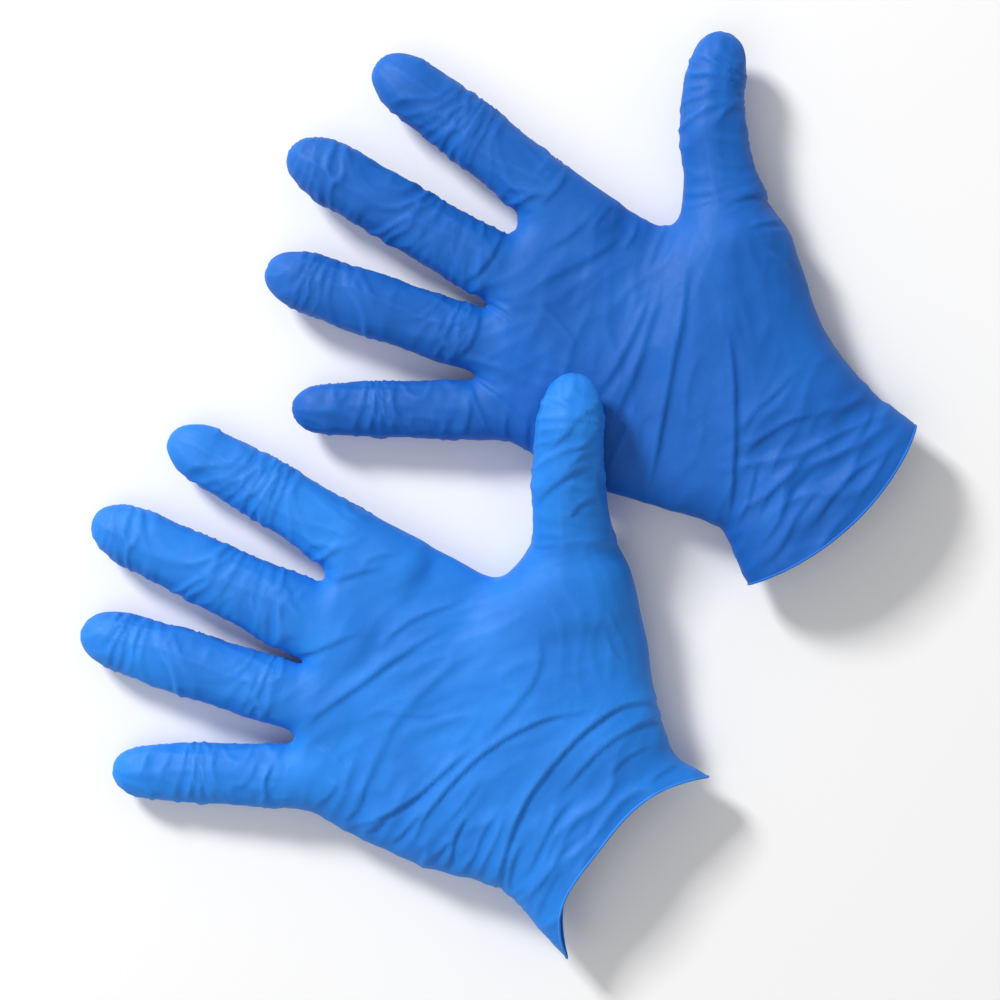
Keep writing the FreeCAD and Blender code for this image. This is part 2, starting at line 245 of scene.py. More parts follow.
# Creases that stand out from the rest.  The film is high on the side left of each line,
# falls at the line, and runs in a shallow groove on the other side.
CREASES = {
    "left": (
        Crease(
            1.9,
            1.2,
            (
                (-138, -88), (-125, -80), (-110, -74), (-88, -69.8),
                (-62, -72.5), (-42, -79.5), (-33, -89.5), (-24, -103),
            ),
        ),
        Crease(0.9, 1.2, ((-124, -84), (-117, -80.5), (-110, -78), (-102, -76.8))),
        Crease(1.1, 1.2, ((-82, -79), (-70, -80.5), (-57, -83), (-45, -88.5), (-36, -96), (-28, -106))),
        Crease(1.6, 1.1, ((-128, -40), (-100, -43), (-80, -48), (-62, -57.5), (-52, -67), (-44, -76))),
        Crease(1.5, 1.2, ((-140, -16), (-126, -27), (-112, -34), (-96, -38.5), (-80, -43))),
        Crease(0.6, 1.0, ((-133, -36), (-125, -38), (-112, -39.5))),
        Crease(1.3, 1.4, ((-117, 16), (-104, 13), (-88, 6.5), (-72, 0.5), (-58, -6), (-49, -11))),
        Crease(0.9, 1.2, ((-73, 8), (-62, 5.5), (-52, 0.5), (-45, -5), (-40, -10))),
        Crease(0.9, 1.3, ((-93, 35), (-87, 28.5), (-79, 23), (-70, 17))),
        Crease(0.8, 1.3, ((-62, 38), (-56, 33), (-50, 28), (-44, 22))),
        Crease(0.6, 1.1, ((-53, 29.5), (-46, 29), (-41, 25), (-37, 20))),
        Crease(0.5, 2.0, ((-128, -18), (-110, -15), (-90, -13), (-70, -17), (-48, -25))),
        Crease(0.6, 1.6, ((-85, -42), (-68, -46), (-50, -47.5), (-39, -43.5), (-31, -36))),
        Crease(0.9, 1.0, ((-143, 13.5), (-138, 16.5), (-131, 18))),
        Crease(0.6, 1.0, ((-147, 24), (-140, 22), (-133, 23))),
        Crease(0.7, 1.2, ((-138, -3), (-130, -6.5), (-121, -7))),
        Crease(0.7, 1.1, ((-136, -16), (-127, -18.5), (-117, -16))),
        Crease(1.4, 1.0, ((-135, -24), (-130, -27.5), (-124, -30))),
        Crease(0.8, 1.0, ((-132, -50), (-125, -53), (-117, -54))),
        Crease(0.9, 1.0, ((-131, -58), (-124, -58), (-116, -55), (-104, -54))),
        Crease(0.7, 1.0, ((-129, -64), (-119, -65), (-108, -63), (-96, -63))),
        Crease(0.5, 1.0, ((-113, -49.5), (-103, -51), (-90, -51))),
        Crease(0.6, 1.0, ((-127, -71), (-117, -69.5), (-106, -68), (-95, -66))),
        Crease(0.5, 1.1, ((-124, -91), (-112, -92), (-98, -92), (-82, -96))),
        Crease(0.4, 1.0, ((-127, -98), (-114, -95.5), (-100, -94))),
        Crease(0.6, 1.1, ((-119, -87), (-104, -84.5), (-90, -83), (-76, -84.5))),
        Crease(0.5, 1.1, ((-66, -90), (-55, -93), (-45, -99))),
        Crease(0.5, 1.0, ((-60, -105), (-53, -107.5), (-46, -112))),
        Crease(0.4, 0.9, ((-125, -15), (-123, -8), (-124, -2))),
        Crease(0.4, 0.9, ((-118, -8), (-115.5, 0), (-116, 8))),
        Crease(0.4, 1.1, ((-95, -2), (-90, -9), (-86, -17), (-80, -26))),
        Crease(0.5, 1.0, ((-28, -76), (-25, -67), (-19, -58))),
        Crease(0.4, 1.0, ((-22, -72), (-17, -63), (-12, -56))),
        Crease(0.9, 1.1, ((4, -12), (14, -13.5), (24, -17), (30, -22))),
        Crease(0.8, 1.0, ((23, -5), (33, -7), (41, -8), (48, -10.5))),
        Crease(0.7, 1.0, ((29, -12), (37, -16), (46, -16))),
        Crease(0.7, 1.0, ((6, -25), (15, -26), (23, -31))),
    ),
    "right": (
        Crease(1.4, 1.4, ((27, -46), (42, -42), (60, -34.5), (78, -27), (96, -20), (115, -10))),
        Crease(1.0, 2.0, ((38, -22), (54, -19), (72, -15.5), (90, -10.5), (108, -5))),
        Crease(0.9, 1.7, ((50, -9), (66, -9.5), (84, -8), (100, -4.5))),
        Crease(1.8, 1.4, ((36, -79), (48, -73), (62, -65), (76, -56), (90, -46), (103, -35))),
        Crease(0.7, 1.0, ((58.5, 31), (59, 38), (59.5, 46))),
        Crease(0.6, 1.0, ((61, 30), (62.5, 37), (62, 45))),
        Crease(0.5, 1.3, ((62, 6), (66, 11), (69, 20), (70, 30))),
        Crease(0.7, 1.1, ((30, 8), (32, 18), (33, 28), (34, 37))),
        Crease(0.7, 1.1, ((19, 16), (23, 23), (27, 29), (31, 33))),
        Crease(0.4, 1.0, ((44, 25), (41, 34), (39, 42))),
        Crease(0.6, 1.1, ((101, 49), (108, 46.5), (114, 46), (120, 47.5))),
        Crease(0.5, 1.2, ((87, 38), (97, 33), (107, 30), (118, 30))),
        Crease(0.6, 1.1, ((102, 27), (110, 26.5), (119, 25))),
        Crease(0.7, 2.0, ((74, 33), (86, 27), (98, 20), (112, 15))),
        Crease(0.6, 1.1, ((104, 12.5), (111, 12), (119, 14))),
        Crease(0.7, 1.1, ((61, 57), (68, 54), (76, 53), (85, 54.5))),
        Crease(0.8, 1.2, ((34, 45), (42, 42), (50, 43), (58, 47))),
        Crease(0.6, 1.1, ((8, 28), (15, 26), (22, 28), (28, 32))),
        Crease(0.6, 1.1, ((18, 9), (24, 13), (31, 17))),
        Crease(0.6, 1.1, ((19, 0), (25, 4), (32, 8))),
        Crease(0.6, 1.1, ((40, -81), (50, -79), (58, -76), (67, -73))),
        Crease(0.7, 1.2, ((45, -86), (57, -84), (68, -86), (80, -89))),
        Crease(0.7, 1.2, ((36, -92), (50, -92.5), (63, -90), (76, -93))),
        Crease(0.6, 1.2, ((29, -96), (43, -98.5), (57, -97), (72, -99))),
        Crease(0.7, 1.2, ((54, -104), (67, -104), (80, -106), (94, -111))),
        Crease(0.6, 1.1, ((62, -67), (74, -70), (84, -75), (93, -83))),
        Crease(0.6, 1.1, ((66, -63), (78, -62), (90, -65), (102, -67))),
        Crease(0.6, 1.1, ((82, -96), (92, -100), (102, -100), (109, -98))),
        Crease(0.5, 1.1, ((68, -112), (83, -113), (99, -113))),
        Crease(0.5, 1.0, ((130, -47), (134, -39), (133, -30))),
        Crease(0.6, 1.0, ((140, -10), (146, -15), (153, -21))),
        Crease(0.5, 1.0, ((137, -22), (143, -28), (147, -33))),
    ),
}

# Spans at a stall's root and to each side of its middle fold, counted from the hinges.
# Pieces are cut just short of these spans.
ROOT_BEND_START = 1.5
ROOT_BEND_END = 12.5
THUMB_BEND_END = 9.0
FOLD_REACH = 11.0
# A thumb folds only ahead of its hinge, so its underside never dips to the glove below.
THUMB_FOLD_START = 0.0
THUMB_FOLD_END = 13.0
PIECE_START = -2.6
FOLD_CUT = 12.0
# How far from its stall a finger's or a thumb's film may lie.
FINGER_REACH = 6.0
THUMB_REACH = {"left": 13.0, "right": 9.0}


def heading_vector(heading):
    """A level direction, from degrees turned from +X towards +Y."""
    h = math.radians(heading)
    return np.array([math.cos(h), math.sin(h)])


def make_limb(rows, start_cap, end_cap, fullness):
    """A limb from rows of x, y, z, heading, half width and half height, at even steps."""
    rows = np.array(rows, float)
    along = np.concatenate([[0], np.cumsum(np.hypot(*np.diff(rows[:, :2], axis=0).T))])
    count = max(int(along[-1] / LIMB_STEP), 3)
    places = np.linspace(0, along[-1], count + 1)
    even = np.stack([np.interp(places, along, column) for column in rows.T], 1)
    for _ in range(3):
        even[1:-1] = (even[:-2] + 2 * even[1:-1] + even[2:]) / 4
    turn = np.radians(even[:, 3])
    ahead = np.stack([np.cos(turn), np.sin(turn)], 1)
    step = along[-1] / count
    return Limb(even[:, :3], ahead, even[:, 4], even[:, 5], step, start_cap, end_cap, fullness)


def stall_limb(stall):
    """A stall from inside the hand to where its domed tip starts."""
    chord = heading_vector(stall.heading)
    left = np.array([-chord[1], chord[0]])
    dome = stall.pad / 2 * TIP_DOME_SHARE
    rows = []
    for along in np.arange(-STUB_REACH, stall.length - dome + 0.01, LIMB_STEP):
        share = along / stall.length
        bow = 4 * stall.bow * max(share, 0) * (1 - share)
        place = np.array([stall.x, stall.y]) + chord * along + left * bow
        turned = math.degrees(math.atan(4 * stall.bow * (1 - 2 * max(share, 0)) / stall.length))
        turned = turned if stall.bow else 0.0
        z = stall.root_z + (stall.tip_z - stall.root_z) * max(share, -0.15)
        width = np.interp(share, (0, FOLD_SHARE, 1), (stall.root, stall.fold, stall.pad))
        knuckle = KNUCKLE_SWELL * math.exp(-(((share - FOLD_SHARE) / 0.1) ** 2))
        half = width / 2 + knuckle - STALL_TRIM
        rows.append((*place, z, stall.heading + turned, half, half * STALL_HEIGHT_SHARE))
    return make_limb(rows, STUB_CAP, dome, STALL_FULLNESS)


def section_limb(sections, start_cap, end_cap):
    """A hand or a ball of the thumb, its underside pressed on the table."""
    rows = [
        (s.x, s.y, s.half_height - TABLE_PRESS, s.heading, s.half_width, s.half_height)
        for s in sections
    ]
    return make_limb(rows, start_cap, end_cap, HAND_FULLNESS)


def between(values, places):
    """Values given at whole places, read at places between them."""
    low = np.clip(places.astype(int), 0, len(values) - 2)
    share = places - low
    if values.ndim > 1:
        share = share[:, None]
    return values[low] * (1 - share) + values[low + 1] * share


def measure(points, limb):
    """Each point's distance ahead along a limb from its start, across it, and up from it."""
    last = len(limb.middle) - 1.0
    chord = limb.middle[-1, :2] - limb.middle[0, :2]
    place = (points[:, :2] - limb.middle[0, :2]) @ chord / (chord @ chord) * last
    for _ in range(6):
        place = np.clip(place, 0, last)
        offset = points - between(limb.middle, place)
        ahead = between(limb.ahead, place)
        gap = (offset[:, :2] * ahead).sum(1)
        place = place + gap / limb.step
    place = np.clip(place, 0, last)
    offset = points - between(limb.middle, place)
    ahead = between(limb.ahead, place)
    ahead /= np.linalg.norm(ahead, axis=1)[:, None]
    gap = (offset[:, :2] * ahead).sum(1)
    across = offset[:, 1] * ahead[:, 0] - offset[:, 0] * ahead[:, 1]
    return place, gap, across, offset[:, 2]


def depth(points, limb):
    """Distance of each point outside a limb's surface, negative inside it."""
    place, gap, across, up = measure(points, limb)
    last = len(limb.middle) - 1.0
    cap = np.where(place <= 0, limb.start_cap, limb.end_cap)
    past = np.where((place <= 0) & (gap < 0) | (place >= last) & (gap > 0), gap, 0.0)
    n = limb.fullness
    reach = np.stack([between(limb.wide, place), between(limb.high, place), cap])
    shares = np.abs(np.stack([across, up, past])) / reach + 1e-4
    whole = (shares**n).sum(0) ** (1 / n)
    slope = np.sqrt(((shares ** (n - 1) / reach) ** 2).sum(0)) / whole ** (n - 1)
    return (whole - 1) / slope


def joined(a, b, blend):
    """Two distances joined with a fillet."""
    h = np.maximum(blend - np.abs(a - b), 0) / blend
    return np.minimum(a, b) - h * h * blend / 4


class Form:
    """The smooth form that one glove's film is laid over."""

    def __init__(self, side):
        self.side = side
        self.stalls = {name: stall_limb(STALLS[side][name]) for name in FINGERS}
        self.hand = section_limb(HANDS[side], CUFF_CAP, KNUCKLE_CAPS[side])
        thumb = STALLS[side]["thumb"]
        half = thumb.root / 2
        last = Section(thumb.x, thumb.y, half, thumb.heading, half * STALL_HEIGHT_SHARE)
        self.ball = section_limb(BALLS[side] + (last,), *BALL_CAPS)

    def depth(self, points):
        """Distance of each point outside the whole form."""
        fingers = None
        for name in FINGERS[1:]:
            stall = depth(points, self.stalls[name])
            fingers = stall if fingers is None else joined(fingers, stall, BETWEEN_FINGERS)
        palm = joined(depth(points, self.hand), depth(points, self.ball), HAND_TO_BALL)
        palm = joined(palm, depth(points, self.stalls["thumb"]), PALM_TO_THUMB)
        whole = joined(palm, fingers, PALM_TO_FINGERS)
        return -joined(-whole, points[:, 2], FORM_TO_TABLE)

    def land(self, points, normals):
        """Points moved onto the form, each along its normal."""
        away = np.clip(self.depth(points), -LONGEST_LANDING, LONGEST_LANDING)
        return points - normals * away[:, None]


def rough_skin(form, spacing):
    """Even quads close to a form: its limbs as closed tubes, remeshed as one skin."""
    limbs = [(form.hand, HAND_SWELL), (form.ball, BALL_SWELL)]
    limbs += [(stall, 0.0) for stall in form.stalls.values()]
    vertices, faces = [], []
    around = TUBE_POINTS
    for limb, grown in limbs:
        rows = []
        left = np.stack([-limb.ahead[:, 1], limb.ahead[:, 0]], 1)
        first, last = 0, len(limb.middle) - 1
        for turn in reversed(END_ANGLES):
            rows.append((first, -math.radians(turn), limb.start_cap))
        rows += [(k, 0.0, 0.0) for k in range(last + 1)]
        for turn in END_ANGLES:
            rows.append((last, math.radians(turn), limb.end_cap))
        base = len(vertices)
        for k, turn, cap in rows:
            for i in range(around):
                a = 2 * math.pi * i / around
                across = left[k] * (limb.wide[k] + grown) * math.cos(a) * math.cos(turn)
                ahead = limb.ahead[k] * cap * math.sin(turn)
                up = (limb.high[k] + grown / 2) * math.sin(a) * math.cos(turn)
                x, y = limb.middle[k, :2] + across + ahead
                vertices.append((x, y, limb.middle[k, 2] + up))
        for r in range(len(rows) - 1):
            for i in range(around):
                a, b = base + r * around + i, base + r * around + (i + 1) % around
                faces.append((a, b, b + around, a + around))
        faces.append(tuple(range(base + around - 1, base - 1, -1)))
        end = base + (len(rows) - 1) * around
        faces.append(tuple(range(end, end + around)))
    mesh = bpy.data.meshes.new("rough")
    mesh.from_pydata([[c * MM for c in v] for v in vertices], [], faces)
    thing = bpy.data.objects.new("rough", mesh)
    bpy.context.scene.collection.objects.link(thing)
    remesh = thing.modifiers.new("Even quads", "REMESH")
    remesh.mode = "VOXEL"
    remesh.voxel_size = spacing * MM
    graph = bpy.context.evaluated_depsgraph_get()
    even = thing.evaluated_get(graph).to_mesh()
    points = np.empty(len(even.vertices) * 3)
    even.vertices.foreach_get("co", points)
    quads = [tuple(f.vertices) for f in even.polygons]
    thing.evaluated_get(graph).to_mesh_clear()
    bpy.data.objects.remove(thing)
    bpy.data.meshes.remove(mesh)
    return points.reshape(-1, 3) / MM, quads


class Net:
    """The links between the points of a film."""

    def __init__(self, count, quads):
        self.count = count
        quads = np.array(quads)
        rim = np.concatenate([quads[:, [k, (k + 1) % 4]] for k in range(4)])
        used, times = np.unique(np.sort(rim, 1), axis=0, return_counts=True)
        self.links = used
        self.border = used[times == 1]
        cross = np.concatenate([quads[:, [0, 2]], quads[:, [1, 3]]])
        self.springs = np.concatenate([used, cross])
        self.shares = self.neighbours(self.links)

    def neighbours(self, links):
        """How many links end at each point."""
        return np.maximum(np.bincount(links.ravel(), minlength=self.count), 1)

    def on_border(self):
        """Which points lie on the open border."""
        border = np.zeros(self.count, bool)
        border[self.border.ravel()] = True
        return border

    def border_mean(self, values):
        """The mean of each border point's two neighbours on the border."""
        a, b = self.border[:, 0], self.border[:, 1]
        return self.gather(self.border, values[b], values[a]) / self.neighbours(self.border)[:, None]

    def gather(self, links, first, second):
        """Sums over each point's links, of first where a link starts and second at its end."""
        out = np.empty((self.count, first.shape[1]))
        for axis in range(first.shape[1]):
            out[:, axis] = np.bincount(links[:, 0], first[:, axis], self.count)
            out[:, axis] += np.bincount(links[:, 1], second[:, axis], self.count)
        return out

    def mean(self, values):
        """The mean of each point's neighbours."""
        a, b = self.links[:, 0], self.links[:, 1]
        return self.gather(self.links, values[b], values[a]) / self.shares[:, None]


def normals_of(points, quads):
    """Outward direction of a mesh at each point."""
    quads = np.array(quads)
    across = np.cross(
        points[quads[:, 2]] - points[quads[:, 0]], points[quads[:, 3]] - points[quads[:, 1]]
    )
    out = np.zeros_like(points)
    for k in range(4):
        for axis in range(3):
            out[:, axis] += np.bincount(quads[:, k], across[:, axis], len(points))
    return out / (np.linalg.norm(out, axis=1)[:, None] + 1e-12)


def inside_rim(points, side):
    """How far each point lies inside the rim, along the cuff."""
    rim = RIMS[side]
    ahead = heading_vector(rim.heading)
    across = np.array([ahead[1], -ahead[0]])
    offset = points[:, :2] - np.array([rim.x, rim.y])
    share = np.clip(offset @ across / rim.half_width, -1.05, 1.05)
    share = np.abs(share + rim.lean * (1 - share**2))
    middle = HANDS[side][1].half_height
    near = np.clip((points[:, 2] - middle) / 6 + 0.5, 0, 1)
    power = rim.far_power + (rim.near_power - rim.far_power) * near
    return offset @ ahead - rim.sag * (1 - share**power)


def even_skin(form, spacing):
    """The form's smooth skin, cut at the rim, as points and quads."""
    points, quads = rough_skin(form, spacing)
    net = Net(len(points), quads)
    for _ in range(SKIN_ROUNDS):
        points = points * 0.4 + net.mean(points) * 0.6
        points = form.land(points, normals_of(points, quads))
    stray = np.abs(form.depth(points)) > STRAY
    for _ in range(3):
        stray |= net.mean(np.repeat(stray[:, None] * 1.0, 3, 1))[:, 0] > 0
    for _ in range(STRAY_ROUNDS):
        points[stray] = net.mean(points)[stray]
    for _ in range(2):
        points = form.land(points, normals_of(points, quads))
    keep = inside_rim(points, form.side) > -0.45 * spacing
    quads = np.array([q for q in quads if all(keep[k] for k in q)])
    used = np.unique(quads)
    number = np.full(len(points), -1)
    number[used] = np.arange(len(used))
    points, quads = points[used], number[quads]
    net = Net(len(points), quads)
    border = net.on_border()
    ahead = np.append(heading_vector(RIMS[form.side].heading), 0.0)
    for _ in range(RIM_ROUNDS):
        points[border] = (points[border] + net.border_mean(points)[border]) / 2
        points[border] -= inside_rim(points, form.side)[border][:, None] * ahead
        near_rim = ~border & (inside_rim(points, form.side) < 4 * spacing)
        points[near_rim] = (points[near_rim] + net.mean(points)[near_rim]) / 2
    return points, quads


def spline(places, spacing=1.0):
    """Even points on a smooth line through the places, with their shares of its length."""
    places = np.array(places, float)
    ends = np.vstack([2 * places[0] - places[1], places, 2 * places[-1] - places[-2]])
    line = []
    for k in range(len(places) - 1):
        a, b, c, d = ends[k : k + 4]
        count = max(int(np.linalg.norm(c - b) / spacing), 2)
        t = np.arange(count)[:, None] / count
        square = 2 * a - 5 * b + 4 * c - d
        cube = 3 * b - a - 3 * c + d
        line.append(0.5 * (2 * b + (c - a) * t + square * t**2 + cube * t**3))
    line = np.vstack(line + [places[-1:]])
    along = np.concatenate([[0], np.cumsum(np.linalg.norm(np.diff(line, axis=0), axis=1))])
    return line, along / along[-1]


def smooth_step(low, high, values):
    """0 below low, 1 above high, and a smooth rise between."""
    t = np.clip((values - low) / (high - low), 0, 1)
    return t * t * (3 - 2 * t)


def crease_lift(points, normals, creases):
    """How far the creases raise the film at each point, on the side that faces up."""
    lift = np.zeros(len(points))
    facing = smooth_step(-0.35, 0.15, normals[:, 2])
    for crease in creases:
        line, share = spline(crease.places)
        reach = CREASE_REACH * crease.width
        low, high = line.min(0) - reach, line.max(0) + reach
        near = np.all((points[:, :2] > low) & (points[:, :2] < high), axis=1) & (facing > 0)
        near = np.flatnonzero(near)
        away = points[near, None, :2] - line[None]
        nearest = (away**2).sum(2).argmin(1)
        away = away[np.arange(len(near)), nearest]
        tangent = np.gradient(line, axis=0)[nearest]
        tangent /= np.linalg.norm(tangent, axis=1)[:, None]
        beside = (tangent[:, 0] * away[:, 1] - tangent[:, 1] * away[:, 0]) / crease.width
        past = np.abs((away * tangent).sum(1)) / crease.width
        at = share[nearest]
        fade = smooth_step(0, CREASE_FADE, at) * smooth_step(0, CREASE_FADE, 1 - at)
        fade *= np.exp(-past**2)
        rise = smooth_step(-1.0, 0.8, beside) * np.exp(-np.maximum(beside, 0) / CREASE_SLOPE)
        groove = GROOVE_SHARE * np.exp(-((beside + GROOVE_PLACE) ** 2))
        lift[near] += crease.height * (rise - groove) * fade * facing[near]
    return lift


def stall_wrinkles(points, side, form):
    """Where a stall's film is longer than the finger in it: ways to run, and by how much."""
    fields = []
    for name in FINGERS:
        stall, limb = STALLS[side][name], form.stalls[name]
        place, gap, _, _ = measure(points, limb)
        along = place * limb.step - STUB_REACH + gap
        near = np.exp(-((depth(points, limb) / 3) ** 2)) * smooth_step(-8, 0, along)
        amount = np.zeros(len(points))
        root_slack = 0.02 if name == "thumb" else 0.10
        for at, reach, slack in ((0.0, 0.10, root_slack), (FOLD_SHARE, 0.11, 0.09), (0.76, 0.07, 0.08)):
            amount += slack * np.exp(-(((along / stall.length - at) / reach) ** 2))
        amount += 0.02
        way = np.column_stack([between(limb.ahead, place), np.zeros(len(points))])
        fields.append((way, amount * near))
    return fields


def patch_wrinkles(points, normals, patches):
    """Slack in round patches: middle, reach along and across the slack, heading, amount."""
    fields = []
    facing = smooth_step(-0.3, 0.3, normals[:, 2])
    for x, y, reach_along, reach_across, heading, slack in patches:
        ahead = heading_vector(heading)
        offset = points[:, :2] - np.array([x, y])
        along = offset @ ahead / reach_along
        across = (offset[:, 1] * ahead[0] - offset[:, 0] * ahead[1]) / reach_across
        amount = slack * np.exp(-(along**2) - across**2) * facing
        fields.append((np.broadcast_to(np.append(ahead, 0.0), points.shape), amount))
    return fields


def noise_at(points, size, seed):
    """Smooth noise of a given grain in millimetres, between about -1 and 1."""
    shift = Vector((seed * 17.3, seed * 5.7, seed * 9.1))
    return np.array([noise.noise(Vector(p) / size + shift) for p in points])


def ridges_at(places, seed, thin=2.6):
    """Thin crests that wander and branch, from 0 to 1, a little under one to a unit."""
    shift = Vector((seed * 11.9, seed * 7.3, seed * 3.1))
    values = np.array([noise.noise(Vector(p) + shift) for p in places])
    return np.clip(1 - thin * np.abs(values), 0, 1) ** 1.3


def stall_ridges(points, side, form):
    """Crests across each stall, highest where it folds, and lower ones running along it."""
    lift = np.zeros(len(points))
    for number, name in enumerate(FINGERS):
        stall, limb = STALLS[side][name], form.stalls[name]
        place, gap, across, up = measure(points, limb)
        along = place * limb.step - STUB_REACH + gap
        near = (np.abs(depth(points, limb)) < 4) & (along > -10)
        k = np.flatnonzero(near)
        share = along[k] / stall.length
        around = np.arctan2(up[k], across[k]) * 11.0
        lean = 0.5 * np.sin(share * 9 + number * 2.1)
        shape = np.column_stack([(along[k] + lean * around) / 5.2, around / 14, share * 0 + number])
        amount = 0.16 + 0.45 * np.exp(-(((share - FOLD_SHARE) / 0.16) ** 2))
        amount += 0.4 * np.exp(-(((share - 0.76) / 0.09) ** 2))
        amount += 0.3 * np.exp(-(((share - 0.93) / 0.07) ** 2))
        if name != "thumb":
            amount += 0.4 * np.exp(-(((share - 0.04) / 0.1) ** 2))
        long_shape = np.column_stack([along[k] / 26, around / 7, share * 0 + number + 20])
        crest = ridges_at(shape, 5) * amount + ridges_at(long_shape, 6) * 0.3
        edge = smooth_step(-10, 0, along[k]) * smooth_step(4, 1, np.abs(depth(points[k], limb)))
        lift[k] = np.maximum(lift[k], crest * edge)
    return lift


def patch_ridges(points, normals, patches):
    """Crests square to the slack in each patch."""
    lift = np.zeros(len(points))
    facing = smooth_step(-0.4, 0.2, normals[:, 2])
    for number, (x, y, reach_along, reach_across, heading, height) in enumerate(patches):
        ahead = heading_vector(heading)
        offset = points[:, :2] - np.array([x, y])
        along = offset @ ahead
        across = offset[:, 1] * ahead[0] - offset[:, 0] * ahead[1]
        amount = height * np.exp(-((along / reach_along) ** 2) - (across / reach_across) ** 2) * facing
        k = np.flatnonzero(amount > 0.02)
        shape = np.column_stack([along[k] / 9, across[k] / 30, np.full(len(k), number * 3.0)])
        lift[k] += amount[k] * ridges_at(shape, 8, 2.2)
    return lift


def slack_of(points, springs, fields):
    """How much longer than its span each spring is."""
    span = points[springs[:, 1]] - points[springs[:, 0]]
    span /= np.linalg.norm(span, axis=1)[:, None] + 1e-9
    slack = np.zeros(len(springs))
    for way, amount in fields:
        for end in (0, 1):
            k = springs[:, end]
            slack += 0.5 * amount[k] * (span * way[k]).sum(1) ** 2
    return slack


def settle(points, normals, net, slack, lift, rounds, stiff, hold):
    """The film with its slack taken up by buckling, close to the form it lies on."""
    a, b = net.springs[:, 0], net.springs[:, 1]
    rest = np.linalg.norm(points[b] - points[a], axis=1) * (1 + slack)
    shares = net.neighbours(net.springs)[:, None]
    seat = points + normals * lift[:, None]
    film = seat.copy()
    border = net.on_border()
    for _ in range(rounds):
        span = film[b] - film[a]
        length = np.linalg.norm(span, axis=1)
        pull = span * (0.5 * (1 - rest / length))[:, None]
        film = film + net.gather(net.springs, pull, -pull) * (SPRING_SHARE / shares)
        offset = film - seat
        bend = offset - net.mean(offset)
        offset -= stiff * (bend - net.mean(bend))
        out = (offset * normals).sum(1)
        aside = offset - normals * out[:, None]
        out = np.clip(out * (1 - hold), -SINK_LIMIT, RISE_LIMIT)
        offset = aside * DRIFT_KEPT + normals * out[:, None]
        offset[border] *= RIM_KEPT
        film = seat + offset
    film[:, 2] = np.maximum(film[:, 2], 0.0)
    return film


def hex_colour(code, alpha=1.0):
    """A linear colour from an sRGB hex value such as "2b6fd1"."""
    shares = [int(code[k : k + 2], 16) / 255 for k in (0, 2, 4)]
    linear = [s / 12.92 if s <= 0.04045 else ((s + 0.055) / 1.055) ** 2.4 for s in shares]
    return (*linear, alpha)


def add_node(tree, kind, links=(), **settings):
    """A node with its settings, and links given as (input, node, output)."""
    node = tree.nodes.new(kind)
    for name, value in settings.items():
        if name.startswith("in_"):
            node.inputs[name[3:].replace("_", " ")].default_value = value
        else:
            setattr(node, name, value)
    for target, source, output in links:
        tree.links.new(source.outputs[output], node.inputs[target])
    return node


def nitrile(name, dipped, stretched, shaded):
    """Dipped nitrile rubber: an even satin film that pales where it is stretched thin."""
    material = bpy.data.materials.new(name)
    material.use_nodes = True
    tree = material.node_tree
    tree.nodes.clear()
    place = add_node(tree, "ShaderNodeNewGeometry")
    # Cloudy unevenness of the dip, about 30 mm across.
    clouds = add_node(
        tree, "ShaderNodeTexNoise", [("Vector", place, "Position")], in_Scale=1 / 0.030, in_Detail=3.0
    )
    # Fine matt grain of the chlorinated surface, drawn coarser than life at 0.5 mm.
    grain = add_node(
        tree, "ShaderNodeTexNoise", [("Vector", place, "Position")], in_Scale=1 / 0.0005, in_Detail=2.0
    )
    # Small pulls and puckers of the film, about 3 mm across.
    pulls = add_node(
        tree,
        "ShaderNodeTexNoise",
        [("Vector", place, "Position")],
        in_Scale=1 / 0.003,
        in_Detail=4.0,
        in_Distortion=0.6,
    )
    cloud_ramp = add_node(tree, "ShaderNodeValToRGB", [("Fac", clouds, "Fac")])
    cloud_ramp.color_ramp.elements[0].position = 0.3
    cloud_ramp.color_ramp.elements[0].color = hex_colour(dipped)
    cloud_ramp.color_ramp.elements[1].position = 0.75
    cloud_ramp.color_ramp.elements[1].color = hex_colour(shaded)
    # Pointiness is high on ridges, where the film is thin and pale.
    ridge = add_node(tree, "ShaderNodeMapRange", [("Value", place, "Pointiness")])
    ridge.inputs["From Min"].default_value = 0.5
    ridge.inputs["From Max"].default_value = 0.62
    pale = add_node(
        tree,
        "ShaderNodeMix",
        [("Factor", ridge, "Result"), (6, cloud_ramp, "Color")],
        data_type="RGBA",
    )
    pale.inputs[7].default_value = hex_colour(stretched)
    rough = add_node(tree, "ShaderNodeMapRange", [("Value", pulls, "Fac")])
    rough.inputs["To Min"].default_value = 0.5
    rough.inputs["To Max"].default_value = 0.66
    pull_bump = add_node(
        tree, "ShaderNodeBump", [("Height", pulls, "Fac")], in_Strength=0.25, in_Distance=0.0004
    )
    grain_bump = add_node(
        tree,
        "ShaderNodeBump",
        [("Height", grain, "Fac"), ("Normal", pull_bump, "Normal")],
        in_Strength=0.15,
        in_Distance=0.00005,
    )
    shader = add_node(
        tree,
        "ShaderNodeBsdfPrincipled",
        [("Base Color", pale, 2), ("Roughness", rough, "Result"), ("Normal", grain_bump, "Normal")],
        in_IOR=1.52,
    )
    shader.inputs["Subsurface Weight"].default_value = 0.12
    shader.inputs["Subsurface Radius"].default_value = (0.002, 0.004, 0.010)
    shader.inputs["Subsurface Scale"].default_value = 0.3
    shader.inputs["Specular IOR Level"].default_value = 0.28
    add_node(tree, "ShaderNodeOutputMaterial", [("Surface", shader, "BSDF")])
    return material


